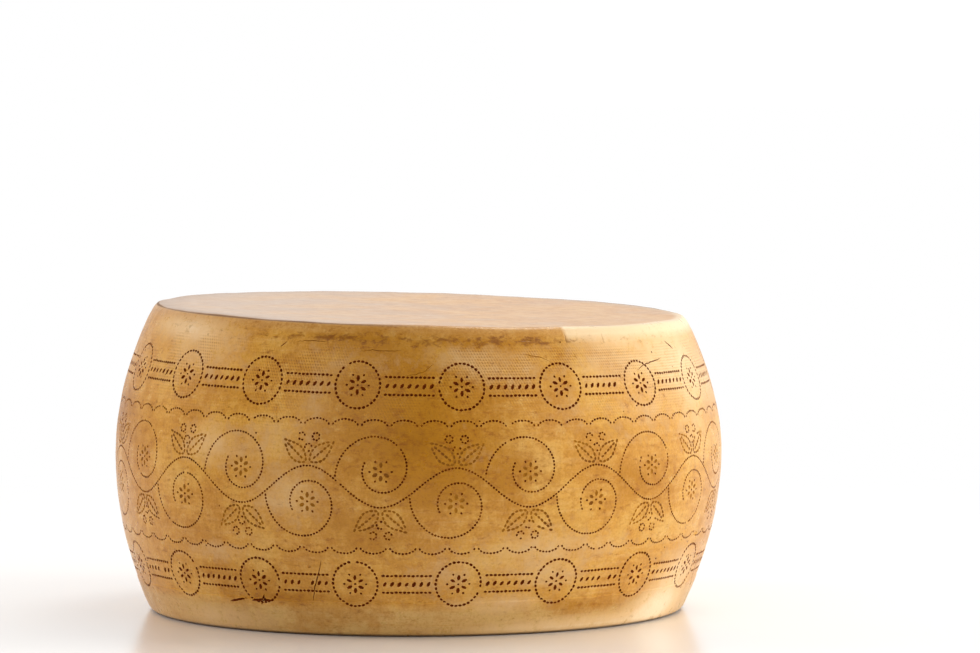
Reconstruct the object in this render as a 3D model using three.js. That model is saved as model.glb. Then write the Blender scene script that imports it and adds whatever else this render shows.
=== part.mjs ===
// A whole wheel of grana cheese, resting on its lower face: a drum with bulging sides, rounded at
// foot and shoulder, whose upper face is shallowly dished and falls towards +X.
// Millimetres, +Z up. The origin is the middle of the lower face and the front looks towards -Y.

import * as THREE from 'three';
import { mergeVertices } from 'three/addons/utils/BufferGeometryUtils.js';

// Driving dimensions of the wheel.
const BELLY_RADIUS = 220; // half the diameter, where the side is widest
const BELLY_HEIGHT = 112; // height of that widest ring above the lower face
const HEIGHT = 218; // lower face to the shoulder, before the upper face slants
const FOOT_INSET = 27; // how much narrower than the belly the side is at the lower face
const SHOULDER_INSET = 27.5; // the same at the upper face
const SIDE_POWER = 1.9; // roundness of the bulge: 2 is a parabola, 1 a straight cone
const FOOT_ROUND = 4.5; // round between the lower face and the side
const SHOULDER_ROUND = 5; // height of the round between the side and the upper face
const SHOULDER_BEVEL = 3; // how far in from the side that round ends on the upper face
const DISH_DEPTH = 2.5; // how far the middle of the upper face sinks under its rim
const SLANT_DEG = 1.55; // fall of the upper face towards +X
const SLANT_POWER = 2; // the slant fades out with this power of the height
const LEAN = 3.4; // how far the upper face has moved towards +X over the lower one
const SAG = 1.1; // how far the side swells or flattens round the wheel

// How finely the curves are cut into facets.
const SECTORS = 96;
const SIDE_STEPS = 20;
const ROUND_STEPS = 4;
const DISH_STEPS = 5;

// Radius of the side at a height, without rounds.
function sideRadius(height) {
  const isUpper = height > BELLY_HEIGHT;
  const reach = isUpper ? HEIGHT - BELLY_HEIGHT : BELLY_HEIGHT;
  const inset = isUpper ? SHOULDER_INSET : FOOT_INSET;
  return BELLY_RADIUS - inset * (Math.abs(height - BELLY_HEIGHT) / reach) ** SIDE_POWER;
}

// Point of the side at a height.
function sidePoint(height) {
  return new THREE.Vector2(sideRadius(height), height);
}

// Half section of the wheel, from the axis at the bottom round to the axis at the top.
function halfSection() {
  const sideTop = HEIGHT - SHOULDER_ROUND;
  const faceEdge = new THREE.Vector2(sideRadius(0) - FOOT_ROUND, 0);
  const rimEdge = new THREE.Vector2(sideRadius(HEIGHT) - SHOULDER_BEVEL, HEIGHT);
  const dishMiddle = new THREE.Vector2(0, HEIGHT - DISH_DEPTH);
  const dishPull = new THREE.Vector2(rimEdge.x / 2, HEIGHT - DISH_DEPTH);

  const foot = new THREE.QuadraticBezierCurve(faceEdge, sidePoint(0), sidePoint(FOOT_ROUND));
  const shoulder = new THREE.QuadraticBezierCurve(sidePoint(sideTop), sidePoint(HEIGHT), rimEdge);
  const dish = new THREE.QuadraticBezierCurve(rimEdge, dishPull, dishMiddle);

  const points = [new THREE.Vector2(0, 0), ...foot.getPoints(ROUND_STEPS)];
  for (let step = 1; step < SIDE_STEPS; step += 1) {
    points.push(sidePoint(THREE.MathUtils.lerp(FOOT_ROUND, sideTop, step / SIDE_STEPS)));
  }
  points.push(...shoulder.getPoints(ROUND_STEPS));
  points.push(...dish.getPoints(DISH_STEPS).slice(1));
  return points;
}

// Slow waves round the wheel, from -1 to 1, so that it is as little true as a pressed cheese is.
function waves(angle) {
  return (Math.sin(2 * angle + 0.6) + 0.7 * Math.sin(3 * angle + 2.1) + 0.4 * Math.sin(5 * angle)) / 2.1;
}

// Moves one point of the turned drum to where the settled cheese has it.
function settle(point) {
  const radius = Math.hypot(point.x, point.y);
  const share = point.z / HEIGHT;
  if (radius > 0) {
    const angle = Math.atan2(point.y, point.x);
    const swell = 1 + (SAG * waves(angle + share)) / BELLY_RADIUS;
    point.x *= swell;
    point.y *= swell;
  }
  point.z -= point.x * Math.tan(THREE.MathUtils.degToRad(SLANT_DEG)) * share ** SLANT_POWER;
  point.x += LEAN * (share - 0.5);
  return point;
}

// The wheel's skin: the section turned about +Z, settled, and centred over the origin.
function wheelGeometry() {
  const turned = new THREE.LatheGeometry(halfSection(), SECTORS);
  turned.rotateX(Math.PI / 2);
  turned.deleteAttribute('normal');
  turned.deleteAttribute('uv');
  const skin = mergeVertices(turned, 1e-3);

  const position = skin.getAttribute('position');
  const point = new THREE.Vector3();
  for (let i = 0; i < position.count; i += 1) {
    point.fromBufferAttribute(position, i);
    settle(point);
    position.setXYZ(i, point.x, point.y, point.z);
  }

  skin.computeBoundingBox();
  const middle = skin.boundingBox.getCenter(new THREE.Vector3());
  skin.translate(-middle.x, -middle.y, 0);
  skin.computeVertexNormals();
  return skin;
}

const rind = new THREE.MeshStandardMaterial({ color: 0xc8964f, roughness: 0.5, metalness: 0 });

const cheeseWheel = new THREE.Mesh(wheelGeometry(), rind);
cheeseWheel.name = 'cheese_wheel';

const cheese = new THREE.Group();
cheese.add(cheeseWheel);

export default cheese;
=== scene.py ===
"""A whole wheel of grana cheese on a white studio table.

The wheel is one closed mesh: a drum that is extruded ring by ring, settled into the frame's uneven
form, and then pricked, dented and cracked by cutters, as a mould's pins, handling and the cellar's dry
air do it. Its ornament is a plain one of rings, ropes, daisies and a leafy vine.
Lengths are in metres. The wheel's front looks towards -Y, and angles round it are counted from there.
"""

import math
import random

import bpy
import numpy as np
from mathutils import Matrix, Vector
from mathutils.bvhtree import BVHTree


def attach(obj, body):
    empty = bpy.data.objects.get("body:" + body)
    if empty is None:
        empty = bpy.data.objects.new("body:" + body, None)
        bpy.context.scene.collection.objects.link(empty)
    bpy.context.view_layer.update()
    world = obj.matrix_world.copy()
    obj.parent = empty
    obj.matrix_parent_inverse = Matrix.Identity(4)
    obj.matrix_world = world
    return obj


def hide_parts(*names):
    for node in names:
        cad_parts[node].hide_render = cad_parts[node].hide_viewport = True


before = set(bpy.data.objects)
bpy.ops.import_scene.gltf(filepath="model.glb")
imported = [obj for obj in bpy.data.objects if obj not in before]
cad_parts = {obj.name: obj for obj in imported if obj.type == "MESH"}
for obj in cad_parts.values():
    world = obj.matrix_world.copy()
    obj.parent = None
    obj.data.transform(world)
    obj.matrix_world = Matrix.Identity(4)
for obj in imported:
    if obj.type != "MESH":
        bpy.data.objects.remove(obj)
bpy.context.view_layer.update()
bpy.ops.object.select_all(action="DESELECT")

MM = 0.001
chance = random.Random(8)

# The wheel's form, as the frame has it.
BELLY_RADIUS = 220 * MM
BELLY_HEIGHT = 112 * MM
WHEEL_HEIGHT = 218 * MM
FOOT_INSET = 27 * MM
SHOULDER_INSET = 27.5 * MM
SIDE_POWER = 1.9
FOOT_ROUND = 4.5 * MM
SHOULDER_ROUND = 4 * MM
SHOULDER_BEVEL = 2.2 * MM
DISH_DEPTH = 2.5 * MM
SLANT = math.radians(1.55)
SLANT_POWER = 2
LEAN = 3.4 * MM
SAG = 1.1 * MM

# What the mould's two end rings leave in the rind: a ledge near the foot and one near the shoulder.
FOOT_LEDGE = 24.5 * MM
SHOULDER_LEDGE = 208 * MM
FOOT_STEP = 0.45 * MM
SHOULDER_STEP = 0.2 * MM
LEDGE_WIDTH = 1.0 * MM
LIP_DIP = 1.2 * MM

# How finely the drum is cut into faces.
COLUMNS = 288
ROW_PITCH = 4.9 * MM
ROUND_STEPS = 5
DISH_RINGS = 11
LOWER_FACE_RINGS = 5

# The skin's unevenness: slow swells off the board, which come in over a pair of heights, and small dents on
# the side, which come in over a pair of radii as well.
SWELL_PATCH = 70 * MM
SWELL_HEIGHT = 1.5 * MM
SMALL_DENT_PATCH = 16 * MM
SMALL_DENT_HEIGHT = 0.45 * MM
OFF_THE_BOARD = (1 * MM, 9 * MM)
ON_THE_SIDE = (178 * MM, 190 * MM)


def pit(spacing, length, width, depth, breaks=True):
    """A kind of pit, its sizes given in millimetres. One that breaks no skin is only pressed in."""
    sizes = {"spacing": spacing, "length": length, "width": width, "depth": depth}
    return {name: size * MM for name, size in sizes.items()} | {"breaks": breaks}


# What the pins of the mould leave in the rind.
DOT = pit(2.4, 2.05, 1.65, 0.9)
DASH = pit(3.05, 2.8, 2.0, 1.0)
SEED = pit(4.7, 4.6, 2.5, 1.1)
STROKE = pit(3.4, 3.2, 1.9, 0.5, breaks=False)
PETAL = pit(4.5, 4.4, 2.7, 0.6, breaks=False)
PIN_SIDES = 6
PIN_STANDS_OUT = 0.08
LEAST_GAP = 2.15 * MM
GAP_TO_LENGTH = 0.62

# The mould's small faults: a few pins are gone, and the rest are off by so many millimetres and radians,
# and press unevenly.
PINS_GONE = 0.012
PIN_SLIP = 0.12
PIN_TURN = 0.15
PIN_SIZES = (0.86, 1.1)

# Pores, which every rind has a few of, at these heights in millimetres.
PORE = pit(0, 1.4, 1.2, 0.9)
PORES = 60
PORE_HEIGHTS = (12, 208)
PORE_SIZES = (0.6, 1.3)

# The rows of the ornament: their height on the side and how many repeats go round.
UPPER_ROW = 177 * MM
LOWER_ROW = 38.5 * MM
VINE_ROW = 107 * MM
RINGS_ROUND = 18
VINE_WAVES = 13

# A daisy: petals from root to tip, with a dot in the middle and one outside each gap.
PETALS = 6
PETAL_ROOT = 2.5 * MM
PETAL_TIP = 6.9 * MM
OUTER_DOT = (7.7 * MM, 7.9 * MM)
HALF_A_DOT = 0.1 * MM

# The rings and the ropes between them, with slanted strands between two edges. All angles are in degrees.
FIRST_RING = 0.4
RING_RADIUS = 16 * MM
ROPE_WIDTH = 12 * MM
ROPE_GAP = 2.4 * MM
STRAND_PITCH = 4.9 * MM
STRAND_HALF = 2.35 * MM
STRAND_SLANT = 58

# The vine: its stem swings, and in each hollow a branch curls in round a daisy.
VINE_SWING = 14 * MM
HOLLOW_DEPTH = 25 * MM
CURL_RADIUS = 13 * MM
CURL_OPENING = 20 * MM
CURL_POWER = 2.2
CURL_START = 172
CURL_TURN = 400
CURL_STEPS = 80
# The two leaves and three berries on each bend of the stem.
LEAF_OFF_STEM = 3.2 * MM
LEAF_LENGTH = 23 * MM
LEAF_WIDTH = 10.5 * MM
LEAF_ROOT_TURN = 30
LEAF_TURN = 50
MIDRIB = (0.12, 0.84)
BERRIES = ((-5.5 * MM, 20 * MM), (0, 12.5 * MM), (5.5 * MM, 20 * MM))
BERRY_RADIUS = 2.6 * MM
# The scallops over and under it. Their reach is a share of their pitch, their bow one of their reach.
SCALLOPS_TO_A_WAVE = 5
SCALLOP_ROW = 42 * MM
SCALLOP_REACH = 0.44
SCALLOP_BOW = 0.5


# ---- the drum


def eased(low, high, value):
    """0 under low, 1 over high, and smooth between them."""
    share = min(max((value - low) / (high - low), 0), 1)
    return share * share * (3 - 2 * share)


def side_radius(height):
    """Radius of the side at a height, with the two ledges."""
    upper = height > BELLY_HEIGHT
    reach = WHEEL_HEIGHT - BELLY_HEIGHT if upper else BELLY_HEIGHT
    inset = SHOULDER_INSET if upper else FOOT_INSET
    bulge = BELLY_RADIUS - inset * (abs(height - BELLY_HEIGHT) / reach) ** SIDE_POWER
    foot_lip = FOOT_STEP * (1 - eased(FOOT_LEDGE, FOOT_LEDGE + LEDGE_WIDTH, height))
    shoulder_dip = SHOULDER_STEP * eased(SHOULDER_LEDGE, SHOULDER_LEDGE + LEDGE_WIDTH, height)
    shoulder_dip += LIP_DIP * (max(height - SHOULDER_LEDGE, 0) / (WHEEL_HEIGHT - SHOULDER_LEDGE)) ** 2
    return bulge + foot_lip - shoulder_dip


def bent(start, corner, end, steps):
    """Points of a round between two edges that would meet in a corner, without its first point."""
    points = []
    for step in range(1, steps + 1):
        t = step / steps
        near, middle, far = (1 - t) ** 2, 2 * t * (1 - t), t * t
        points.append([near * a + middle * b + far * c for a, b, c in zip(start, corner, end)])
    return points


def half_section():
    """(radius, height) of every ring, from the lower face out, up the side and in over the upper one."""
    face_edge = (side_radius(0) - FOOT_ROUND, 0)
    foot_end = (side_radius(FOOT_ROUND), FOOT_ROUND)
    side_top = WHEEL_HEIGHT - SHOULDER_ROUND
    rim = (side_radius(WHEEL_HEIGHT) - SHOULDER_BEVEL, WHEEL_HEIGHT)

    section = [(face_edge[0] * ring / LOWER_FACE_RINGS, 0) for ring in range(1, LOWER_FACE_RINGS + 1)]
    section += bent(face_edge, (side_radius(0), 0), foot_end, ROUND_STEPS)

    rows = round((side_top - FOOT_ROUND) / ROW_PITCH)
    heights = [FOOT_ROUND + (side_top - FOOT_ROUND) * row / rows for row in range(1, rows)]
    ledges = [FOOT_LEDGE, SHOULDER_LEDGE]
    heights = [h for h in heights if all(abs(h - ledge) > ROW_PITCH / 2 for ledge in ledges)]
    for ledge in ledges:
        heights += [ledge + LEDGE_WIDTH * share for share in (-1, 0, 0.5, 1, 2)]
    section += [(side_radius(h), h) for h in sorted(heights)]

    section.append((side_radius(side_top), side_top))
    section += bent(section[-1], (side_radius(WHEEL_HEIGHT), WHEEL_HEIGHT), rim, ROUND_STEPS)
    middle = (0, WHEEL_HEIGHT - DISH_DEPTH)
    dish = bent(rim, (rim[0] / 2, WHEEL_HEIGHT - DISH_DEPTH), middle, DISH_RINGS)
    return section + dish[:-1]


def close_ring():
    """Closes the selected open ring with a fan of faces round its middle."""
    bpy.ops.mesh.extrude_edges_move()
    bpy.ops.mesh.merge(type="CENTER")


def in_fixed_order(drum):
    """Sorts the drum's faces and starts each at its first corner. The operators leave both to chance, and
    all that is done to the drum later would differ by a hair from run to run."""
    mesh = drum.data
    corners = [vertex.co.copy() for vertex in mesh.vertices]
    faces = [tuple(face.vertices) for face in mesh.polygons]
    starts = [face.index(min(face)) for face in faces]
    faces = sorted(face[start:] + face[:start] for face, start in zip(faces, starts))
    mesh.clear_geometry()
    mesh.from_pydata(corners, [], faces)


def turned_drum(name):
    """A closed drum, extruded ring by ring through the half section."""
    section = half_section()
    radius, height = section[0]
    bpy.ops.mesh.primitive_circle_add(vertices=COLUMNS, radius=radius, location=(0, 0, height))
    drum = bpy.context.object
    drum.name = name
    bpy.ops.object.mode_set(mode="EDIT")
    bpy.ops.mesh.select_all(action="SELECT")
    for next_radius, next_height in section[1:]:
        bpy.ops.mesh.extrude_edges_move(TRANSFORM_OT_translate={"value": (0, 0, next_height - height)})
        wider = next_radius / radius
        bpy.ops.transform.resize(value=(wider, wider, 1), center_override=(0, 0, next_height))
        radius, height = next_radius, next_height
    close_ring()
    bpy.ops.mesh.select_all(action="DESELECT")
    bpy.ops.mesh.select_non_manifold()
    close_ring()
    bpy.ops.mesh.select_all(action="SELECT")
    bpy.ops.mesh.normals_make_consistent(inside=False)
    bpy.ops.object.mode_set(mode="OBJECT")
    in_fixed_order(drum)
    return drum


def waves(angle):
    """Slow waves round the wheel, from -1 to 1."""
    return (math.sin(2 * angle + 0.6) + 0.7 * math.sin(3 * angle + 2.1) + 0.4 * math.sin(5 * angle)) / 2.1


def settled(point):
    """Where a point of the true drum lies once the cheese has sagged, leaned and sunk on one side."""
    share = point.z / WHEEL_HEIGHT
    swell = 1 + SAG * waves(math.atan2(point.y, point.x) + share) / BELLY_RADIUS
    x, y = point.x * swell, point.y * swell
    z = point.z - x * math.tan(SLANT) * share**SLANT_POWER
    return Vector((x + LEAN * (share - 0.5), y, z))


def settle(drum):
    """Settles every vertex and centres the drum over the origin, and returns that last shift."""
    for vertex in drum.data.vertices:
        vertex.co = settled(vertex.co)
    places = np.array([vertex.co for vertex in drum.data.vertices])
    middle = (places.min(axis=0) + places.max(axis=0)) / 2
    shift = Vector((-middle[0], -middle[1], 0))
    drum.data.transform(Matrix.Translation(shift))
    return shift


def lumps(drum, name, patch, height, group):
    """Raises and sinks the drum's skin by soft clouds, patch wide and height from top to bottom."""
    clouds = bpy.data.textures.new(name, "CLOUDS")
    clouds.noise_scale = patch
    clouds.noise_depth = 2
    displace = drum.modifiers.new(name, "DISPLACE")
    displace.texture = clouds
    displace.texture_coords = "LOCAL"
    displace.strength = height
    displace.mid_level = 0.5
    displace.vertex_group = group
    bpy.context.view_layer.objects.active = drum
    bpy.ops.object.modifier_apply(modifier=name)


def roughen(drum):
    """Gives side and upper face their unevenness. The lower face stays flat, as it is on its board, and
    the upper one has only the slow swells."""
    free = drum.vertex_groups.new(name="off_the_board")
    side = drum.vertex_groups.new(name="on_the_side")
    for vertex in drum.data.vertices:
        risen = eased(*OFF_THE_BOARD, vertex.co.z)
        free.add([vertex.index], risen, "REPLACE")
        outward = eased(*ON_THE_SIDE, vertex.co.xy.length)
        side.add([vertex.index], risen * outward, "REPLACE")
    lumps(drum, "slow_swells", SWELL_PATCH, SWELL_HEIGHT, free.name)
    lumps(drum, "small_dents", SMALL_DENT_PATCH, SMALL_DENT_HEIGHT, side.name)
    drum.vertex_groups.clear()


# ---- the ornament's lines


def arc_line(middle, radius, start, end, steps=24):
    """Points of an arc, as (along, up) in metres on the unrolled side."""
    turns = [start + (end - start) * step / steps for step in range(steps + 1)]
    return [(middle[0] + radius * math.cos(t), middle[1] + radius * math.sin(t)) for t in turns]


def wave_line(length, pitch, swing, phase, step=0.5 * MM):
    """A wave along a whole row."""
    count = round(length / step)
    places = [length * i / count for i in range(count + 1)]
    return [(x, swing * math.sin(2 * math.pi * x / pitch + phase)) for x in places]


def leaf_edge(base, tip, width, side, steps=24):
    """One edge of a leaf, from base to tip, with its belly nearer the base."""
    across = (tip - base).orthogonal().normalized() * side * width / 2
    shares = [step / steps for step in range(steps + 1)]
    return [base.lerp(tip, t) + across * math.sin(math.pi * t**0.75) ** 1.1 for t in shares]


def heading(degrees, length):
    """A step of a length in a direction on the unrolled side."""
    turn = math.radians(degrees)
    return Vector((math.cos(turn), math.sin(turn))) * length


def along(line, mark):
    """(along, up, direction) of marks at an even pace on a line, as near to the mark's spacing as fits."""
    points = [Vector(p) for p in line]
    lengths = [(b - a).length for a, b in zip(points, points[1:])]
    total = sum(lengths)
    count = max(1, round(total / mark["spacing"]))
    pace = total / count
    marks = []
    gone, piece = 0.0, 0
    for i in range(count):
        wanted = (i + 0.5) * pace
        while piece < len(lengths) - 1 and gone + lengths[piece] < wanted:
            gone += lengths[piece]
            piece += 1
        a, b = points[piece], points[piece + 1]
        place = a.lerp(b, min(max((wanted - gone) / lengths[piece], 0), 1))
        marks.append((place.x, place.y, math.atan2(b.y - a.y, b.x - a.x)))
    return marks


def daisy(middle, petal_mark, dot_mark):
    """Six petals round a dot, with a dot outside each gap."""
    lines = [(dot_mark, [middle - heading(0, HALF_A_DOT), middle + heading(0, HALF_A_DOT)])]
    turn = 360 / PETALS
    for petal in range(PETALS):
        way = (petal + 0.5) * turn
        lines.append((petal_mark, [middle + heading(way, reach) for reach in (PETAL_ROOT, PETAL_TIP)]))
        lines.append((dot_mark, [middle + heading(way + turn / 2, reach) for reach in OUTER_DOT]))
    return lines


def rings_and_ropes(length):
    """Rings round daisies, joined by ropes: (mark, line) pairs for a whole row."""
    pitch = length / RINGS_ROUND
    lines = []
    for ring in range(RINGS_ROUND):
        middle = Vector(((ring + FIRST_RING) * pitch, 0))
        lines.append((DASH, arc_line(middle, RING_RADIUS, 0, 2 * math.pi)))
        lines += daisy(middle, SEED, DOT)
        start = middle + heading(0, RING_RADIUS + ROPE_GAP)
        end = middle + heading(0, pitch - RING_RADIUS - ROPE_GAP)
        for edge in (-1, 1):
            rise = heading(90, edge * ROPE_WIDTH / 2)
            lines.append((DASH, [start + rise, end + rise]))
        strands = round((end - start).length / STRAND_PITCH)
        for strand in range(strands):
            foot = start.lerp(end, (strand + 0.5) / strands)
            ends = [foot + heading(way, STRAND_HALF) for way in (STRAND_SLANT - 180, STRAND_SLANT)]
            lines.append((SEED, ends))
    return lines


def leaf(base, tip, width):
    """A leaf's outline and midrib."""
    lines = [(STROKE, leaf_edge(base, tip, width, side)) for side in (-1, 1)]
    lines.append((STROKE, [base.lerp(tip, share) for share in MIDRIB]))
    return lines


def curl(hollow, out):
    """A branch that leaves the stem and curls in round a hollow."""
    points = []
    for step in range(CURL_STEPS + 1):
        share = step / CURL_STEPS
        reach = CURL_RADIUS + CURL_OPENING * (1 - share) ** CURL_POWER
        points.append(hollow + heading(out * (CURL_START + CURL_TURN * share), reach))
    return points


def scallops(length):
    """A row of scallops under the vine and one over it."""
    count = SCALLOPS_TO_A_WAVE * VINE_WAVES
    lines = []
    for edge in (-1, 1):
        for scallop in range(count):
            middle = Vector(((scallop + 0.5) * length / count, edge * SCALLOP_ROW))
            bow = arc_line((0, 0), SCALLOP_REACH * length / count, 0, edge * math.pi)
            lines.append((DOT, [middle + Vector((x, SCALLOP_BOW * y)) for x, y in bow]))
    return lines


def vine(length):
    """A wavy stem, a branch round a daisy in each hollow, leaves and berries on each bend, and scallops."""
    pitch = length / VINE_WAVES
    lines = [(DOT, wave_line(length, pitch, VINE_SWING, 0))]
    for bend in range(2 * VINE_WAVES):
        out = 1 if bend % 2 == 0 else -1
        top = Vector(((bend + 0.5) * pitch / 2, out * VINE_SWING))
        hollow = top - heading(90, out * HOLLOW_DEPTH)
        lines.append((DOT, curl(hollow, out)))
        lines += daisy(hollow, PETAL, DOT)
        for side in (-1, 1):
            base = top + heading(90 * out - LEAF_ROOT_TURN * side * out, LEAF_OFF_STEM)
            lines += leaf(base, base + heading(90 * out - LEAF_TURN * side * out, LEAF_LENGTH), LEAF_WIDTH)
        for across, rise in BERRIES:
            middle = top + heading(90, out * rise) + heading(0, across)
            lines.append((DOT, arc_line(middle, BERRY_RADIUS, 0, 2 * math.pi)))
    return lines + scallops(length)


def row_marks(lines, row_height):
    """Marks of a row as (kind, angle, height, direction, size), with the mould's small faults."""
    radius = side_radius(row_height)
    marks = []
    for kind, line in lines:
        for x, y, direction in along(line, kind):
            if chance.random() < PINS_GONE:
                continue
            height = row_height + y + chance.uniform(-PIN_SLIP, PIN_SLIP) * MM
            turned = direction + chance.uniform(-PIN_TURN, PIN_TURN)
            marks.append((kind, x / radius, height, turned, chance.uniform(*PIN_SIZES)))
    return marks


def apart(marks):
    """The marks without those that would run into an earlier one."""
    kept, cells = [], {}
    for mark in marks:
        kind, angle, height, _, _ = mark
        place = Vector((angle * BELLY_RADIUS, height))
        column, row = round(place.x / (2 * LEAST_GAP)), round(place.y / (2 * LEAST_GAP))
        beside = [(column + i, row + j) for i in (-1, 0, 1) for j in (-1, 0, 1)]
        near = [other for cell in beside for other in cells.get(cell, [])]
        reach = max(LEAST_GAP, kind["length"] * GAP_TO_LENGTH)
        if all((place - other).length > max(reach, its_reach) for other, its_reach in near):
            cells.setdefault((column, row), []).append((place, reach))
            kept.append(mark)
    return kept


def ornament():
    """Every mark of the three rows, and the pores."""
    marks = []
    for row_height, design in ((UPPER_ROW, rings_and_ropes), (LOWER_ROW, rings_and_ropes), (VINE_ROW, vine)):
        marks += row_marks(design(2 * math.pi * side_radius(row_height)), row_height)
    for _ in range(PORES):
        place = (chance.uniform(-math.pi, math.pi), chance.uniform(*PORE_HEIGHTS) * MM)
        marks.append((PORE, *place, chance.uniform(0, math.pi), chance.uniform(*PORE_SIZES)))
    return apart(marks)


# ---- cutting into the rind


class Skin:
    """The settled drum's surface, for finding the place and the facing of a point of the side."""

    def __init__(self, drum, shift):
        mesh = drum.data
        self.tree = BVHTree.FromPolygons([v.co for v in mesh.vertices], [p.vertices for p in mesh.polygons])
        self.shift = shift

    def at(self, angle, height):
        """(place, outward normal, way round, way up) at an angle and a height of the true drum."""
        radius = side_radius(height)
        true = Vector((radius * math.sin(angle), -radius * math.cos(angle), height))
        place, normal, _, _ = self.tree.find_nearest(settled(true) + self.shift)
        round_way = Vector((0, 0, 1)).cross(normal).normalized()
        return place, normal, round_way, normal.cross(round_way)


def pin():
    """One pin, its point down: a ring of radius 1 at height 0, where it meets the rind."""
    bpy.ops.mesh.primitive_cone_add(
        vertices=PIN_SIDES,
        radius1=0,
        radius2=1 + PIN_STANDS_OUT,
        depth=1 + PIN_STANDS_OUT,
        location=(0, 0, (PIN_STANDS_OUT - 1) / 2),
    )
    bpy.ops.object.transform_apply(location=True, rotation=False, scale=False)
    return bpy.context.object


def pick(piece):
    """Makes a piece the only selected one, and the active one."""
    bpy.ops.object.select_all(action="DESELECT")
    piece.select_set(True)
    bpy.context.view_layer.objects.active = piece


def new_cutter(name, corners, faces):
    """An object of corners and faces."""
    mesh = bpy.data.meshes.new(name)
    mesh.from_pydata(corners, [], faces)
    mesh.update()
    cutter = bpy.data.objects.new(name, mesh)
    bpy.context.collection.objects.link(cutter)
    return cutter


def joined_copies(pattern, places, name):
    """One mesh object of a copy of the pattern at each 4 by 4 place. The pattern is removed."""
    corners = np.array([tuple(v.co) + (1.0,) for v in pattern.data.vertices])
    faces = [tuple(p.vertices) for p in pattern.data.polygons]
    vertices = np.concatenate([corners @ np.array(place).T[:, :3] for place in places])
    count = len(corners)
    all_faces = [tuple(v + count * i for v in face) for i in range(len(places)) for face in faces]
    bpy.data.objects.remove(pattern)
    return new_cutter(name, vertices.tolist(), all_faces)


def pin_place(skin, mark):
    """Where a pin stands on the rind, stretched to the mark's size and turned along its line."""
    kind, angle, height, direction, size = mark
    place, normal, round_way, up = skin.at(angle, height)
    ahead = round_way * math.cos(direction) + up * math.sin(direction)
    sideways = normal.cross(ahead)
    length = ahead * (kind["length"] * min(size, 1) / 2)
    width = sideways * kind["width"] * size / 2
    depth = normal * kind["depth"] * size
    return Matrix([(*length, 0), (*width, 0), (*depth, 0), (*place, 1)]).transposed()


# How a groove is drawn: the pace of its rings, how far they wander, in degrees and in millimetres, and how
# it grows from its thin ends, more here and less there.
GROOVE_PACE = 1.6 * MM
WANDER_ROUND = 0.06
WANDER_UP = 0.25
GROWTH_POWER = 0.6
THIN_END = 0.12
GROWTHS = (0.75, 1.15)


def groove(skin, route, width, depth):
    """Corners and faces of a wedge that follows a route of (degrees, mm up), thin at both ends."""
    points = [Vector((degrees, height * MM)) for degrees, height in route]
    fine = []
    for a, b in zip(points, points[1:]):
        across = math.radians(b.x - a.x) * BELLY_RADIUS
        steps = max(2, round(math.hypot(across, b.y - a.y) / GROOVE_PACE))
        fine += [a.lerp(b, step / steps) for step in range(steps)]
    fine.append(points[-1])
    for i, point in enumerate(fine):
        off = (chance.uniform(-WANDER_ROUND, WANDER_ROUND), chance.uniform(-WANDER_UP, WANDER_UP) * MM)
        fine[i] = point + Vector(off)
    rings = []
    for i, point in enumerate(fine):
        share = i / (len(fine) - 1)
        swell = max(math.sin(math.pi * share) ** GROWTH_POWER, THIN_END) * chance.uniform(*GROWTHS)
        ahead = fine[min(i + 1, len(fine) - 1)] - fine[max(i - 1, 0)]
        way = math.atan2(ahead.y, math.radians(ahead.x) * BELLY_RADIUS)
        place, normal, round_way, up = skin.at(math.radians(point.x), point.y)
        sideways = up * math.cos(way) - round_way * math.sin(way)
        half = width / 2 * swell * (1 + PIN_STANDS_OUT)
        top = place + normal * depth * swell * PIN_STANDS_OUT
        rings.append([top + sideways * half, top - sideways * half, place - normal * depth * swell])
    corners = [corner for ring in rings for corner in ring]
    faces = [(0, 1, 2), tuple(3 * len(rings) - k for k in (1, 2, 3))]
    for i in range(len(rings) - 1):
        for k in range(3):
            a, b = 3 * i + k, 3 * i + (k + 1) % 3
            faces.append((b, a, a + 3, b + 3))
    return corners, faces


# Cracks from dry air: (width, depth, route of (degrees from the front, height)), in millimetres, as are the
# lists after it.
CRACKS = [
    (1.9, 1.1, [(-40.2, 21.6), (-37.8, 23.4), (-35.6, 24.8)]),
    (2.3, 1.2, [(-34.6, 23.6), (-32, 24.3), (-29.4, 24.1)]),
    (1.7, 1.1, [(-32.5, 20.6), (-31.5, 28.2)]),
    (0.8, 0.8, [(-20.9, 24.5), (-20.3, 34), (-19, 47), (-18.5, 55)]),
    (0.9, 0.6, [(48.1, 186.3), (49.8, 189.2), (52, 190.8), (57, 193.5)]),
    (1.1, 0.7, [(60.7, 205.1), (63.4, 198.8)]),
    (0.8, 0.5, [(-29.4, 200), (-28.1, 204.3)]),
    (0.7, 0.6, [(79.9, 8.5), (77.6, 24), (75.1, 38.3)]),
    (0.9, 0.8, [(112, 31), (118, 27), (122, 26)]),
    (0.7, 0.6, [(150, 150), (154, 158), (155, 171)]),
    (0.8, 0.7, [(196, 60), (201, 63), (209, 61)]),
    (0.8, 0.5, [(-98, 196), (-92, 199), (-87, 198)]),
    (1.6, 1.0, [(-130, 24), (-126, 25.4), (-121, 24.8)]),
    (0.7, 0.5, [(-150, 128), (-147, 141)]),
]
# Scratches, which bruised the skin and did not break it.
SCRATCHES = [
    (0.8, 0.35, [(-12.1, 199.8), (-9.6, 200.9), (-7, 200.5), (-3.7, 201)]),
    (0.7, 0.4, [(-2.9, 184), (-1, 184.9), (0.8, 187), (2.7, 192.5)]),
    (0.6, 0.3, [(-26, 204.5), (-22.5, 205.6), (-19, 205.1)]),
    (0.6, 0.3, [(21, 199.5), (25, 197), (27, 193)]),
    (0.7, 0.3, [(133, 176), (138, 183), (140, 192)]),
    (0.7, 0.3, [(-108, 150), (-103, 158), (-101, 170)]),
]
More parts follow.
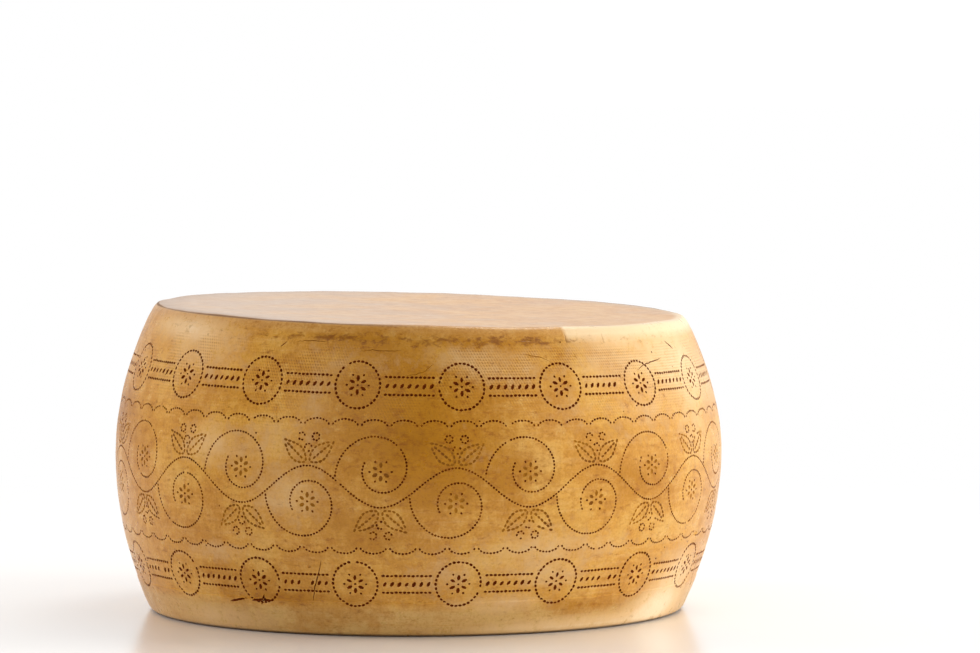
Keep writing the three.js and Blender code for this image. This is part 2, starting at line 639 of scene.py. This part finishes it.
# Creases, where the mould's belt ended and where the cloth lay in folds.
CREASES = [
    (1.5, 0.45, [(31.0, 205), (31.2, 214)]),
    (1.2, 0.35, [(40.6, 206), (40.7, 214.5)]),
    (0.9, 0.3, [(-27.9, 161), (-27.4, 148)]),
    (0.8, 0.3, [(-35.2, 154), (-34.7, 143)]),
    (1.1, 0.35, [(92, 128), (99, 136), (108, 139)]),
    (1.0, 0.3, [(-142, 88), (-136, 97)]),
]
# Dents from handling: (degrees from the front, height, length, width, depth).
DENTS = [
    (-56.5, 212, 16, 3.4, 0.45),
    (-21.0, 49.8, 2.6, 2.2, 0.9),
    (22, 209, 9, 2.4, 0.5),
    (104, 140, 12, 5, 0.8),
    (171, 206, 16, 4, 0.9),
    (-118, 70, 9, 6, 0.8),
    (-165, 22, 14, 4, 0.8),
    (68, 62, 7, 4, 0.6),
]


def dents(skin, name):
    """One cutter of every dent, each a squashed ball that lies half in the rind."""
    bpy.ops.mesh.primitive_ico_sphere_add(subdivisions=3, radius=1)
    places = []
    for degrees, height, length, width, depth in DENTS:
        dent = pit(0, length, width, depth)
        places.append(pin_place(skin, (dent, math.radians(degrees), height * MM, 0, 1)))
    return joined_copies(bpy.context.object, places, name)


def cracks(skin, name, routes):
    """One cutter of every crack in a list."""
    corners, faces = [], []
    for width, depth, route in routes:
        more, more_faces = groove(skin, route, width * MM, depth * MM)
        faces += [tuple(v + len(corners) for v in face) for face in more_faces]
        corners += more
    return new_cutter(name, corners, faces)


def cut(piece, cutter, finish):
    """Takes the cutter out of the piece, and leaves its finish on the cut faces."""
    pick(cutter)
    bpy.ops.object.mode_set(mode="EDIT")
    bpy.ops.mesh.select_all(action="SELECT")
    bpy.ops.mesh.normals_make_consistent(inside=False)
    bpy.ops.object.mode_set(mode="OBJECT")
    cutter.data.materials.append(finish)
    boolean = piece.modifiers.new("cut", "BOOLEAN")
    boolean.operation = "DIFFERENCE"
    boolean.solver = "MANIFOLD"
    boolean.material_mode = "TRANSFER"
    boolean.object = cutter
    bpy.context.view_layer.objects.active = piece
    bpy.ops.object.modifier_apply(modifier="cut")
    bpy.data.objects.remove(cutter)


# ---- where the rind is stained and bloomed, and painted with highlights

# Spots: (degrees from the front, height, half width in degrees, half height, strength), with both heights
# in millimetres.
AMBER_SPOTS = [
    (-4, 172, 16, 40, 0.65),
    (-12, 206, 10, 8, 0.35),
    (-3, 141, 8, 13, 0.55),
    (4, 118, 13, 20, 0.55),
    (1, 103, 9, 9, 0.3),
    (14, 143, 7, 10, 0.2),
    (19, 118, 5, 16, 0.5),
    (-10, 78, 8, 18, 0.4),
    (16, 207, 12, 4, 0.4),
    (21, 213, 6, 5, 0.2),
    (29, 200, 6, 14, 0.45),
    (40, 146, 4, 7, 0.3),
    (-4, 127, 5, 8, 0.3),
    (-4, 66, 5, 8, 0.3),
    (-56.5, 212, 3, 2, 0.7),
    (-46, 168, 9, 20, 0.1),
    (-67, 150, 7, 30, 0.1),
    (-24, 27, 12, 4, 0.55),
    (-17, 12, 10, 9, 0.3),
    (46, 105, 10, 16, 0.4),
    (-36, 40, 14, 10, 0.3),
    (36, 20, 13, 6, 0.5),
]
# Pale spots, partly the rind's bloom and partly painted highlight: the strongest, at the right of the
# shoulder and of the foot and high on the left, are painted sheen of the softboxes and of the table's
# bounce.
BLOOM_AND_HIGHLIGHT_SPOTS = [
    (8, 196, 8, 11, 0.5),
    (-20, 165, 5, 40, 0.3),
    (-10, 192, 8, 10, 0.2),
    (12, 128, 5, 10, 0.25),
    (-50, 194, 14, 22, 0.5),
    (40, 192, 12, 16, 0.45),
    (62, 196, 14, 26, 1.0),
    (44, 150, 9, 22, 0.2),
    (30, 160, 6, 12, 0.3),
    (50, 158, 5, 9, 0.25),
    (21, 192, 5, 20, 0.25),
    (-29, 140, 5, 18, 0.3),
    (14, 185, 6, 9, 0.3),
    (42, 207, 10, 5, 0.5),
    (64, 150, 8, 34, 0.45),
    (-58, 208, 12, 7, 0.9),
    (-42, 132, 9, 17, 0.6),
    (-25, 100, 8, 20, 0.5),
    (-42, 57, 10, 8, 0.45),
    (-44, 9, 13, 9, 0.6),
    (5, 46, 8, 16, 0.35),
    (24, 62, 12, 16, 0.5),
    (40, 62, 7, 9, 0.3),
    (27, 42, 8, 9, 0.4),
    (17, 23, 10, 7, 0.6),
    (36, 5, 26, 5, 1.2),
    (60, 12, 10, 13, 1.6),
    (64, 36, 9, 18, 0.8),
]
# What the photograph shows of the side, in degrees, and how many spots lie on the rest of it.
SEEN_FROM, SEEN_TO = -75, 78
UNSEEN_SPOTS = 26
# The spots come in over this much of the radius, so that none lies on an end face.
SPOTS_FROM = 180 * MM
SPOTS_FADE = 7 * MM
# Skin between two pits that is narrower than this is as dirty as they are.
WIDEST_BRIDGE = 2.5 * MM


def spots_round_the_back():
    """Stains, and pale spots like the bloom and painted highlights in front, for the part of the side that
    the photograph does not show.
    """
    stains, blooms_and_highlights = [], []
    for i in range(UNSEEN_SPOTS):
        spot = (
            chance.uniform(SEEN_TO, SEEN_FROM + 360),
            chance.uniform(20, 205),
            chance.uniform(6, 14),
            chance.uniform(8, 26),
            chance.uniform(0.3, 0.9),
        )
        (stains if i % 2 else blooms_and_highlights).append(spot)
    return stains, blooms_and_highlights


def true_places(mesh, shift):
    """(degrees from the front, height, radius) of every vertex on the true drum, with the settling undone.
    The height is neared in a few rounds, because how far a vertex sank depends on its height."""
    flat = np.empty(3 * len(mesh.vertices))
    mesh.vertices.foreach_get("co", flat)
    x, y, z = (flat.reshape(-1, 3) - np.array(shift)).T
    height = z
    for _ in range(4):
        share = height / WHEEL_HEIGHT
        true_x = x - LEAN * (share - 0.5)
        height = z + true_x * math.tan(SLANT) * share**SLANT_POWER
    return np.degrees(np.arctan2(true_x, -y)), height, np.hypot(true_x, y)


def painted(angle, height, radius, spots):
    """How strongly the spots cover each place of the side. They end where the end faces begin."""
    cover = np.zeros(len(angle))
    for middle, level, wide, tall, strength in spots:
        off = (angle - middle + 180) % 360 - 180
        rise = height - level * MM
        cover += strength * np.exp(-((off / wide) ** 2) - (rise / (tall * MM)) ** 2)
    return cover * np.clip((radius - SPOTS_FROM) / SPOTS_FADE, 0, 1)


def bridge_faces(mesh):
    """1 for every face of the narrow bridges of skin between neighbouring pits, and 0 for the others."""
    pitted = {v for face in mesh.polygons if face.material_index == 1 for v in face.vertices}
    bridges = np.zeros(len(mesh.polygons))
    for face in mesh.polygons:
        if face.material_index == 0 and all(v in pitted for v in face.vertices):
            corners = [mesh.vertices[v].co for v in face.vertices]
            longest = max((a - b).length for a, b in zip(corners, corners[1:] + corners[:1]))
            bridges[face.index] = longest < WIDEST_BRIDGE
    return bridges


def paint(piece, shift):
    """Stores the true height and both kinds of spots on the piece's vertices, and the bridges on its
    faces, for its finish to read."""
    angle, height, radius = true_places(piece.data, shift)
    stains, blooms_and_highlights = spots_round_the_back()
    fields = {
        "true_height": height,
        "amber": painted(angle, height, radius, AMBER_SPOTS + stains),
        "bloom_and_highlight": painted(angle, height, radius, BLOOM_AND_HIGHLIGHT_SPOTS + blooms_and_highlights),
    }
    for name, values in fields.items():
        field = piece.data.attributes.new(name, "FLOAT", "POINT")
        field.data.foreach_set("value", values)
    bridges = piece.data.attributes.new("bridge", "FLOAT", "FACE")
    bridges.data.foreach_set("value", bridge_faces(piece.data))


# The flat layout, in metres: the side's strips, one above another, and the two end faces beside them. It is
# scaled to the unit square last.
STRIPS = 3
STRIP_TURN = 360 / STRIPS
STRIP_WIDTH = 2 * math.pi * BELLY_RADIUS / STRIPS + 14 * MM
STRIP_HEIGHT = 285 * MM
STRIP_START = 0.13
DISC_WIDTH = 390 * MM
LAYOUT_WIDTH = STRIP_WIDTH + DISC_WIDTH
FLAT_FACING = 0.9


def read(items, name, width):
    """A number or vector of every item of a mesh, as one array for each of its numbers."""
    values = np.empty(len(items) * width)
    items.foreach_get(name, values)
    return values.reshape(-1, width).T


def unroll(piece, shift):
    """Lays the faces out flat, with the side cut into strips."""
    mesh = piece.data
    degrees, height, radius = true_places(mesh, shift)
    x, y, _ = read(mesh.vertices, "co", 3)
    side = np.array([side_radius(h) for h in height])
    end = (height > WHEEL_HEIGHT - SHOULDER_ROUND) | (height < FOOT_ROUND)
    inward = BELLY_RADIUS - side + np.where(end, np.maximum(side - radius, 0), 0)
    rise = height + np.where(height > BELLY_HEIGHT, inward, -inward)

    corner = read(mesh.loops, "vertex_index", 1)[0].astype(int)
    corners_of_faces = read(mesh.polygons, "loop_total", 1)[0].astype(int)
    owner = np.repeat(np.arange(len(mesh.polygons)), corners_of_faces)
    facing = read(mesh.polygons, "normal", 3)[2][owner]
    middle_x, middle_y, _ = read(mesh.polygons, "center", 3)
    strip = (np.degrees(np.arctan2(middle_x, -middle_y)) + STRIP_TURN / 2) // STRIP_TURN % STRIPS
    strip = strip[owner]
    off = (degrees[corner] - strip * STRIP_TURN + 180) % 360 - 180
    across = np.radians(off) * BELLY_RADIUS + STRIP_WIDTH / 2
    up = rise[corner] + (strip + STRIP_START) * STRIP_HEIGHT

    flat = np.abs(facing) > FLAT_FACING
    disc_up = np.where(facing > 0, 1.5 * DISC_WIDTH + y[corner], 0.5 * DISC_WIDTH - y[corner])
    across = np.where(flat, STRIP_WIDTH + DISC_WIDTH / 2 + x[corner], across)
    up = np.where(flat, disc_up, up)
    layout = mesh.uv_layers.new(name="OFBake")
    layout.data.foreach_set("uv", (np.column_stack((across, up)) / LAYOUT_WIDTH).ravel())


# ---- finishes


def linear(code):
    """The linear colour of an sRGB hex code."""
    parts = [int(code[i : i + 2], 16) / 255 for i in (1, 3, 5)]
    return (*(p / 12.92 if p <= 0.04045 else ((p + 0.055) / 1.055) ** 2.4 for p in parts), 1)


def add(tree, kind, inputs, **settings):
    """Adds a node with its settings. An input is a value, a socket, or a node, whose first live output
    it takes."""
    node = tree.nodes.new("ShaderNode" + kind)
    for key, value in settings.items():
        setattr(node, key, value)
    for key, value in inputs.items():
        if isinstance(value, bpy.types.Node):
            value = next(socket for socket in value.outputs if socket.enabled)
        if isinstance(value, bpy.types.NodeSocket):
            tree.links.new(value, node.inputs[key])
        else:
            node.inputs[key].default_value = value
    return node


def new_finish(name):
    """An empty material: its tree and its Principled shader."""
    finish = bpy.data.materials.new(name)
    finish.use_nodes = True
    return finish, finish.node_tree, finish.node_tree.nodes["Principled BSDF"]


def per_metre(size):
    """The noise scale whose patches are about this wide."""
    return 1 / size


MIX_A, MIX_B = 6, 7  # the colour inputs of a Mix node
# The lip's pale band, from the belt's end to the next angle, is rubbed rind made paler still by a painted
# highlight.
BELT_END = math.radians(31)  # where the belt round the mould ended, and the lip's rubbed part begins
RUBBED_AND_HIGHLIT_END = math.radians(140)
# The linen cloth, whose print the rind keeps: threads round the wheel, and stitches along each. Real linen
# is too fine to show in the render, so it is drawn about four times as coarse.
THREAD = 2.0 * MM
STITCHES_ROUND = 640


def oiled_rind():
    """Natural cheese rind, brushed and oiled in the cellar: a tight, waxy skin, honey to amber, that
    shines softly and shows the cloth and the mould that it was pressed in."""
    finish, tree, skin = new_finish("oiled_grana_rind")
    place = add(tree, "TexCoord", {}).outputs["Object"]
    axes = add(tree, "SeparateXYZ", {0: place}).outputs
    height, amber, bloom_and_highlight, bridge = (
        add(tree, "Attribute", {}, attribute_name=name).outputs["Fac"]
        for name in ("true_height", "amber", "bloom_and_highlight", "bridge")
    )
    flat = add(tree, "VectorMath", {0: place, 1: (1, 1, 0)}, operation="MULTIPLY")
    radius = add(tree, "VectorMath", {0: flat}, operation="LENGTH").outputs["Value"]
    front = add(tree, "Math", {0: axes["Y"], 1: -1}, operation="MULTIPLY")
    angle = add(tree, "Math", {0: axes["X"], 1: front}, operation="ARCTAN2")
    off_front = add(tree, "Math", {0: angle}, operation="ABSOLUTE")
    off_ledge = add(tree, "Math", {0: height, 1: -SHOULDER_LEDGE}, operation="ADD")
    off_ledge = add(tree, "Math", {0: off_ledge}, operation="ABSOLUTE")

    # Clouds of colour, from a hand's width down to the grain of the skin, dabs, runs of oil down the side,
    # and smears of the brush round it: (way of reading the place, patch, detail, roughness).
    dashed, upright, level = (
        add(tree, "Mapping", {"Vector": place, "Scale": stretch})
        for stretch in ((0.5, 0.5, 1), (1, 1, 0.05), (0.07, 0.07, 1))
    )
    patches, wear, mottle, grain, dabs, runs, smears = (
        add(tree, "TexNoise", {"Vector": way, "Scale": per_metre(patch), "Detail": fine, "Roughness": rough})
        for way, patch, fine, rough in (
            (place, 45 * MM, 5, 0.6),
            (place, 28 * MM, 3, 0.5),
            (place, 10 * MM, 5, 0.7),
            (place, 1.7 * MM, 3, 0.6),
            (dashed, 4 * MM, 4, 0.7),
            (upright, 4 * MM, 3, 0.6),
            (level, 3.2 * MM, 4, 0.65),
        )
    )

    # Where things are on the wheel: (name, what it follows, where it is nothing, where it is full, how much
    # that is).
    at = {
        name: add(tree, "MapRange", {"Value": follows, "From Min": none, "From Max": full, "To Max": most})
        for name, follows, none, full, most in (
            ("face", radius, 190 * MM, 186 * MM, 1),
            ("off face", radius, 185 * MM, 188.5 * MM, 1),
            ("over cloth foot", height, 140 * MM, 190 * MM, 1),
            ("under cloth hem", height, 206 * MM, 201 * MM, 1),
            ("thick rind", wear, 0.44, 0.58, 1),
            ("lip", height, 209 * MM, 214 * MM, 0.6),
            ("high on lip", height, 206.5 * MM, 213 * MM, 0.7),
            ("past belt", angle, BELT_END, BELT_END + 0.02, 1),
            ("before back", angle, RUBBED_AND_HIGHLIT_END, RUBBED_AND_HIGHLIT_END - 0.6, 1),
            ("near ledge", off_ledge, 6 * MM, 1 * MM, 0.2),
            ("high on rim", height, 216.5 * MM, 217.2 * MM, 1),
            ("far out on rim", radius, 188.2 * MM, 188.9 * MM, 1),
            ("left", axes["X"], 10 * MM, -80 * MM, 0.75),
            ("back", axes["Y"], 0, 80 * MM, 0.7),
            ("beside rim", radius, 168 * MM, 187 * MM, 0.7),
            ("left half", axes["X"], 60 * MM, -130 * MM, 1),
        )
    }
    at["left or back"] = add(tree, "Math", {0: at["left"], 1: at["back"]}, operation="MAXIMUM")
    # The upper face is painted greyer in patches on its left half: a painted reflection of the grey studio.
    grey_reflection = add(tree, "Math", {0: patches, 1: 2.0, 2: at["left half"]}, operation="MULTIPLY_ADD")
    at["grey_reflection"] = add(tree, "MapRange", {"Value": grey_reflection, "From Min": 1.0, "From Max": 2.0, "To Max": 0.6})

    # Places that are in several of these at once. The lip over the shoulder's ledge is pale from the belt's
    # end on: rubbed rind with a painted highlight. The rim is darker, most on its left and back parts, and
    # greys the face beside it.
    for name, parts in (
        ("print", ("over cloth foot", "under cloth hem", "thick rind")),
        ("rubbed_and_highlit", ("past belt", "before back", "high on lip", "off face")),
        ("lip", ("lip", "off face")),
        ("dark rim", ("left or back", "high on rim")),
        ("rim", ("dark rim", "far out on rim")),
        ("border", ("dark rim", "beside rim")),
        ("grey_reflection face", ("grey_reflection", "face")),
    ):
        both = at[parts[0]]
        for part in parts[1:]:
            both = add(tree, "Math", {0: both, 1: at[part]}, operation="MULTIPLY")
        at[name] = both

    # The cloth: each thread's stitches are set off from the next one's, and show where the rind is thick.
    thread_turn = add(tree, "Math", {0: height, 1: 2 * math.pi / THREAD}, operation="MULTIPLY")
    thread = add(tree, "Math", {0: thread_turn}, operation="SINE")
    shifted = add(tree, "Math", {0: thread_turn, 1: 0.5}, operation="MULTIPLY")
    along_thread = {0: angle, 1: STITCHES_ROUND, 2: shifted}
    stitch_turn = add(tree, "Math", along_thread, operation="MULTIPLY_ADD")
    stitch = add(tree, "Math", {0: stitch_turn}, operation="SINE")
    cloth = add(tree, "Math", {0: stitch, 1: 1.1, 2: thread}, operation="MULTIPLY_ADD")
    cloth = add(tree, "Math", {0: cloth, 1: at["print"]}, operation="MULTIPLY")

    # Stains, and the bloom with its painted highlights, break up along the clouds. Dabs keep off the bloom
    # and highlights, and gather in blots at the shoulder's ledge, most of all in front.
    stained = add(tree, "Math", {0: patches, 1: 0.8, 2: amber}, operation="MULTIPLY_ADD")
    stained = add(tree, "Math", {0: mottle, 1: 1.0, 2: stained}, operation="MULTIPLY_ADD")
    bloomed_and_highlit = add(tree, "Math", {0: mottle, 1: 1.2, 2: bloom_and_highlight}, operation="MULTIPLY_ADD")
    blotchy = add(tree, "Math", {0: amber, 1: 0.05, 2: dabs}, operation="MULTIPLY_ADD")
    blotchy = add(tree, "Math", {0: bloom_and_highlight, 1: -0.09, 2: blotchy}, operation="MULTIPLY_ADD")
    in_front = {"Value": off_front, "From Min": 0.7, "From Max": 0.45, "To Min": 0.35}
    in_front = add(tree, "MapRange", in_front)
    blots = add(tree, "Math", {0: at["near ledge"], 1: in_front, 2: dabs}, operation="MULTIPLY_ADD")

    # The colours over the honey ground, in the order of laying: (what it follows, where it is nothing, where
    # it is full, how much it then covers, colour, blend).
    colour = linear("#D49C3A")
    for follows, none, full, most, code, blend in (
        (patches, 0.44, 0.66, 0.65, "#BC7E28", "MIX"),
        (patches, 0.48, 0.32, 0.65, "#DCB05E", "MIX"),
        (mottle, 0.5, 0.64, 0.6, "#C0862C", "MIX"),
        (mottle, 0.46, 0.32, 0.55, "#DCB062", "MIX"),
        (at["lip"], 0, 1, 1, "#CA9A5C", "MIX"),
        (height, 25 * MM, 17 * MM, 0.6, "#CDB076", "MIX"),
        (smears, 0.52, 0.7, 0.35, "#DDB272", "MIX"),
        (smears, 0.47, 0.32, 0.35, "#BE8226", "MIX"),
        (grain, 0.46, 0.3, 0.3, "#E4BC74", "MIX"),
        (stained, 0.9, 1.4, 0.95, "#B67B0E", "MIX"),
        (stained, 1.6, 2.2, 0.8, "#985F02", "MIX"),
        (runs, 0.52, 0.75, 0.25, "#D8C69C", "MULTIPLY"),
        (blotchy, 0.54, 0.68, 0.55, "#D2B444", "MULTIPLY"),
        (grain, 0.53, 0.7, 0.38, "#CDB060", "MULTIPLY"),
        # Pale over the bloom spots: partly bloom, partly painted highlight.
        (bloomed_and_highlit, 0.75, 1.5, 0.85, "#E6C490", "MIX"),
        (bloomed_and_highlit, 1.6, 2.3, 0.8, "#F6E4C4", "MIX"),
        (cloth, 0.2, -1.6, 0.6, "#B4944A", "MULTIPLY"),
        # Pale lip past the belt's end: rubbed rind with a painted highlight.
        (at["rubbed_and_highlit"], 0, 1, 1, "#F2DCB4", "MIX"),
        (at["face"], 0, 1, 0.45, "#D8B08A", "MIX"),
        # Greyer patches on the face's left half: painted reflection.
        (at["grey_reflection face"], 0, 1, 1, "#BFAFA2", "MIX"),
        # The face beside the rim is greyer, and the rim darker, most on the left and back.
        (at["border"], 0, 1, 1, "#A58C78", "MIX"),
        (blots, 0.64, 0.78, 0.6, "#A88A18", "MULTIPLY"),
        (bridge, 0, 1, 0.55, "#A07440", "MULTIPLY"),
        (at["rim"], 0, 1, 1, "#6E4A22", "MIX"),
        # A dark ring round the lowest edge of the foot: painted contact shadow where the wheel meets the
        # table.
        (height, 2.2 * MM, 1 * MM, 0.8, "#523008", "MIX"),
    ):
        cover = {"Value": follows, "From Min": none, "From Max": full, "To Max": most}
        layer = {"Factor": add(tree, "MapRange", cover), MIX_A: colour, MIX_B: linear(code)}
        colour = add(tree, "Mix", layer, data_type="RGBA", blend_type=blend)
    tree.links.new(colour.outputs[2], skin.inputs["Base Color"])

    rough = {"Value": mottle, "From Min": 0.3, "From Max": 0.7, "To Min": 0.24, "To Max": 0.38}
    rough = add(tree, "MapRange", rough)
    for part, rougher in ((at["rim"], 0.4), (at["face"], 0.06)):
        rough = add(tree, "Math", {0: part, 1: rougher, 2: rough}, operation="MULTIPLY_ADD")
    tree.links.new(rough.outputs[0], skin.inputs["Roughness"])
    skin.inputs["IOR"].default_value = 1.45

    # The relief, in millimetres.
    relief = add(tree, "Math", {0: grain, 1: 0.12}, operation="MULTIPLY")
    for part, tall in ((mottle, 0.25), (runs, 0.05), (smears, 0.10), (cloth, 0.03)):
        relief = add(tree, "Math", {0: part, 1: tall, 2: relief}, operation="MULTIPLY_ADD")
    bump = add(tree, "Bump", {"Height": relief, "Distance": 1 * MM, "Strength": 1})
    tree.links.new(bump.outputs[0], skin.inputs["Normal"])
    return finish


def pricked_rind():
    """Rind inside the pits: torn open by the pins while fresh, and darkened by age and cellar dust."""
    finish, tree, skin = new_finish("pricked_dark_rind")
    place = add(tree, "TexCoord", {}).outputs["Object"]
    height = add(tree, "Attribute", {}, attribute_name="true_height").outputs["Fac"]
    uneven = add(tree, "TexNoise", {"Vector": place, "Scale": per_metre(16 * MM), "Detail": 3})
    # The vine is pricked less hard, and stays paler in places.
    above, below, clean = (
        add(tree, "MapRange", {"Value": follows, "From Min": none, "From Max": full, "To Max": most})
        for follows, none, full, most in (
            (height, 60 * MM, 66 * MM, 1),
            (height, 154 * MM, 150 * MM, 1),
            (uneven, 0.4, 0.7, 0.7),
        )
    )
    middle = add(tree, "Math", {0: above, 1: below}, operation="MULTIPLY")
    paler = add(tree, "Math", {0: middle, 1: clean}, operation="MULTIPLY")
    colour = linear("#541C00")
    for share, code in ((uneven, "#743200"), (paler, "#985A12")):
        layer = {"Factor": share, MIX_A: colour, MIX_B: linear(code)}
        colour = add(tree, "Mix", layer, data_type="RGBA")
    tree.links.new(colour.outputs[2], skin.inputs["Base Color"])
    skin.inputs["Roughness"].default_value = 0.8
    skin.inputs["Specular IOR Level"].default_value = 0.08
    return finish


def pressed_rind():
    """Rind at the bottom of the mould's shallow strokes: whole, but bruised browner and less shiny."""
    finish, tree, skin = new_finish("pressed_soft_rind")
    place = add(tree, "TexCoord", {}).outputs["Object"]
    uneven = add(tree, "TexNoise", {"Vector": place, "Scale": per_metre(20 * MM), "Detail": 4})
    shade = add(tree, "MapRange", {"Value": uneven, "From Min": 0.35, "From Max": 0.65})
    layer = {"Factor": shade, MIX_A: linear("#A06A14"), MIX_B: linear("#784606")}
    colour = add(tree, "Mix", layer, data_type="RGBA")
    tree.links.new(colour.outputs[2], skin.inputs["Base Color"])
    skin.inputs["Roughness"].default_value = 0.5
    skin.inputs["Specular IOR Level"].default_value = 0.15
    return finish


# How far from the wheel's axis the table starts to be lit white, and where it is all white.
LIT_FROM = 350 * MM
LIT_TO = 1100 * MM


def table_white():
    """White acrylic sheet, as photographers lay under food: pale, with a soft reflection. Away from the
    wheel it is lit so strongly that it shows as pure white, as paper does under studio light."""
    finish, tree, skin = new_finish("white_acrylic_table")
    skin.inputs["Base Color"].default_value = linear("#F4F3F1")
    skin.inputs["Roughness"].default_value = 0.18
    place = add(tree, "TexCoord", {}).outputs["Object"]
    away = add(tree, "VectorMath", {0: place}, operation="LENGTH").outputs["Value"]
    reach = {"Value": away, "From Min": LIT_FROM, "From Max": LIT_TO}
    far = add(tree, "MapRange", reach, interpolation_type="SMOOTHSTEP")
    seen = add(tree, "LightPath", {}).outputs["Is Camera Ray"]
    lit = add(tree, "Math", {0: far, 1: seen}, operation="MULTIPLY")
    glow = add(tree, "Emission", {"Color": (1, 1, 1, 1)})
    blend = add(tree, "MixShader", {0: lit, 1: skin, 2: glow})
    tree.links.new(blend.outputs[0], tree.nodes["Material Output"].inputs["Surface"])
    return finish


# ---- the wheel

SMOOTH_UP_TO = math.radians(24)


def cheese_wheel():
    """The whole wheel, in its finishes."""
    drum = turned_drum("grana_wheel")
    shift = settle(drum)
    roughen(drum)
    skin = Skin(drum, shift)
    rind, pricked, pressed = oiled_rind(), pricked_rind(), pressed_rind()
    drum.data.materials.append(rind)
    marks = ornament()
    for breaks, name, lining in ((True, "mould_pins", pricked), (False, "mould_strokes", pressed)):
        places = [pin_place(skin, mark) for mark in marks if mark[0]["breaks"] == breaks]
        cut(drum, joined_copies(pin(), places, name), lining)
    cut(drum, dents(skin, "handling"), rind)
    grooves = ((CREASES, "folds", rind), (SCRATCHES, "knocks", pressed), (CRACKS, "dry_air", pricked))
    for routes, name, lining in grooves:
        cut(drum, cracks(skin, name, routes), lining)
    paint(drum, shift)
    unroll(drum, shift)
    pick(drum)
    bpy.ops.object.shade_smooth_by_angle(angle=SMOOTH_UP_TO)
    return drum


# ---- the studio

# Softboxes: (name, place, size in metres, power in watts, colour, whether the rind mirrors it).
SOFTBOXES = [
    ("right_softbox", (2.3, 0.1, 0.8), 1.0, 31.5, "#FFF6EA", False),
    ("front_softbox", (1.9, -2.0, 0.4), 1.2, 20, "#FFF8F0", False),
    ("left_softbox", (-2.2, 0.4, 0.9), 1.2, 32.5, "#FFF4F0", False),
    ("fill_softbox", (-1.6, -2.4, 1.3), 2.4, 15, "#FFF8F0", True),
    ("overhead_softbox", (0.6, 0.8, 2.0), 0.9, 12, "#FFFFFF", True),
]
LIT_POINT = Vector((0, 0, 110 * MM))
TABLE_WIDTH = 24

# The room's light comes mostly from this side.
WINDOW_WAY = (0.75, 0.65, 0.1)

# The photograph is taken with a long lens from 4.5 m away, from a little above the wheel.
CAMERA_PLACE = (0, -4.5, 0.503)
CAMERA_DOWN = math.radians(3.79)
CAMERA_RIGHT = math.radians(0.664)
FILM_WIDTH = 36
PHOTO_WIDTH = 980  # pixels
FOCAL_LENGTH = 6194  # pixels
SEES_UP_TO = 60


def studio():
    """The table, the lights and the camera."""
    bpy.ops.mesh.primitive_plane_add(size=TABLE_WIDTH, location=(0, 0, 0))
    table = bpy.context.object
    table.name = "table"
    table.data.materials.append(table_white())

    scene = bpy.context.scene
    scene.view_settings.view_transform = "Standard"
    world = bpy.data.worlds.new("white_room")
    scene.world = world
    world.use_nodes = True
    tree = world.node_tree
    backdrop = tree.nodes["Background"]
    way = add(tree, "TexCoord", {}).outputs["Generated"]
    to_window = add(tree, "VectorMath", {0: way, 1: WINDOW_WAY}, operation="DOT_PRODUCT")
    to_window = to_window.outputs["Value"]
    room = {"Value": to_window, "From Min": -0.6, "From Max": 0.8, "To Min": 0.12, "To Max": 1.1}
    glow = add(tree, "MapRange", room)
    seen = add(tree, "LightPath", {}).outputs["Is Camera Ray"]
    strength = add(tree, "Math", {0: glow, 1: seen}, operation="MAXIMUM")
    tree.links.new(strength.outputs[0], backdrop.inputs["Strength"])
    backdrop.inputs["Color"].default_value = (1, 1, 1, 1)

    for name, place, size, power, colour, mirrored in SOFTBOXES:
        light = bpy.data.lights.new(name, "AREA")
        light.size = size
        light.energy = power
        light.color = linear(colour)[:3]
        lamp = bpy.data.objects.new(name, light)
        lamp.location = place
        lamp.rotation_euler = (LIT_POINT - Vector(place)).to_track_quat("-Z", "Y").to_euler()
        lamp.visible_glossy = mirrored
        scene.collection.objects.link(lamp)

    camera = bpy.data.cameras.new("camera")
    camera.sensor_width = FILM_WIDTH
    camera.lens = FILM_WIDTH * FOCAL_LENGTH / PHOTO_WIDTH
    camera.clip_end = SEES_UP_TO
    viewer = bpy.data.objects.new("camera", camera)
    viewer.location = CAMERA_PLACE
    viewer.rotation_euler = (math.radians(90) - CAMERA_DOWN, 0, -CAMERA_RIGHT)
    scene.collection.objects.link(viewer)
    scene.camera = viewer


wheel = cheese_wheel()
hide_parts("cheese_wheel")
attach(wheel, "root")
studio()
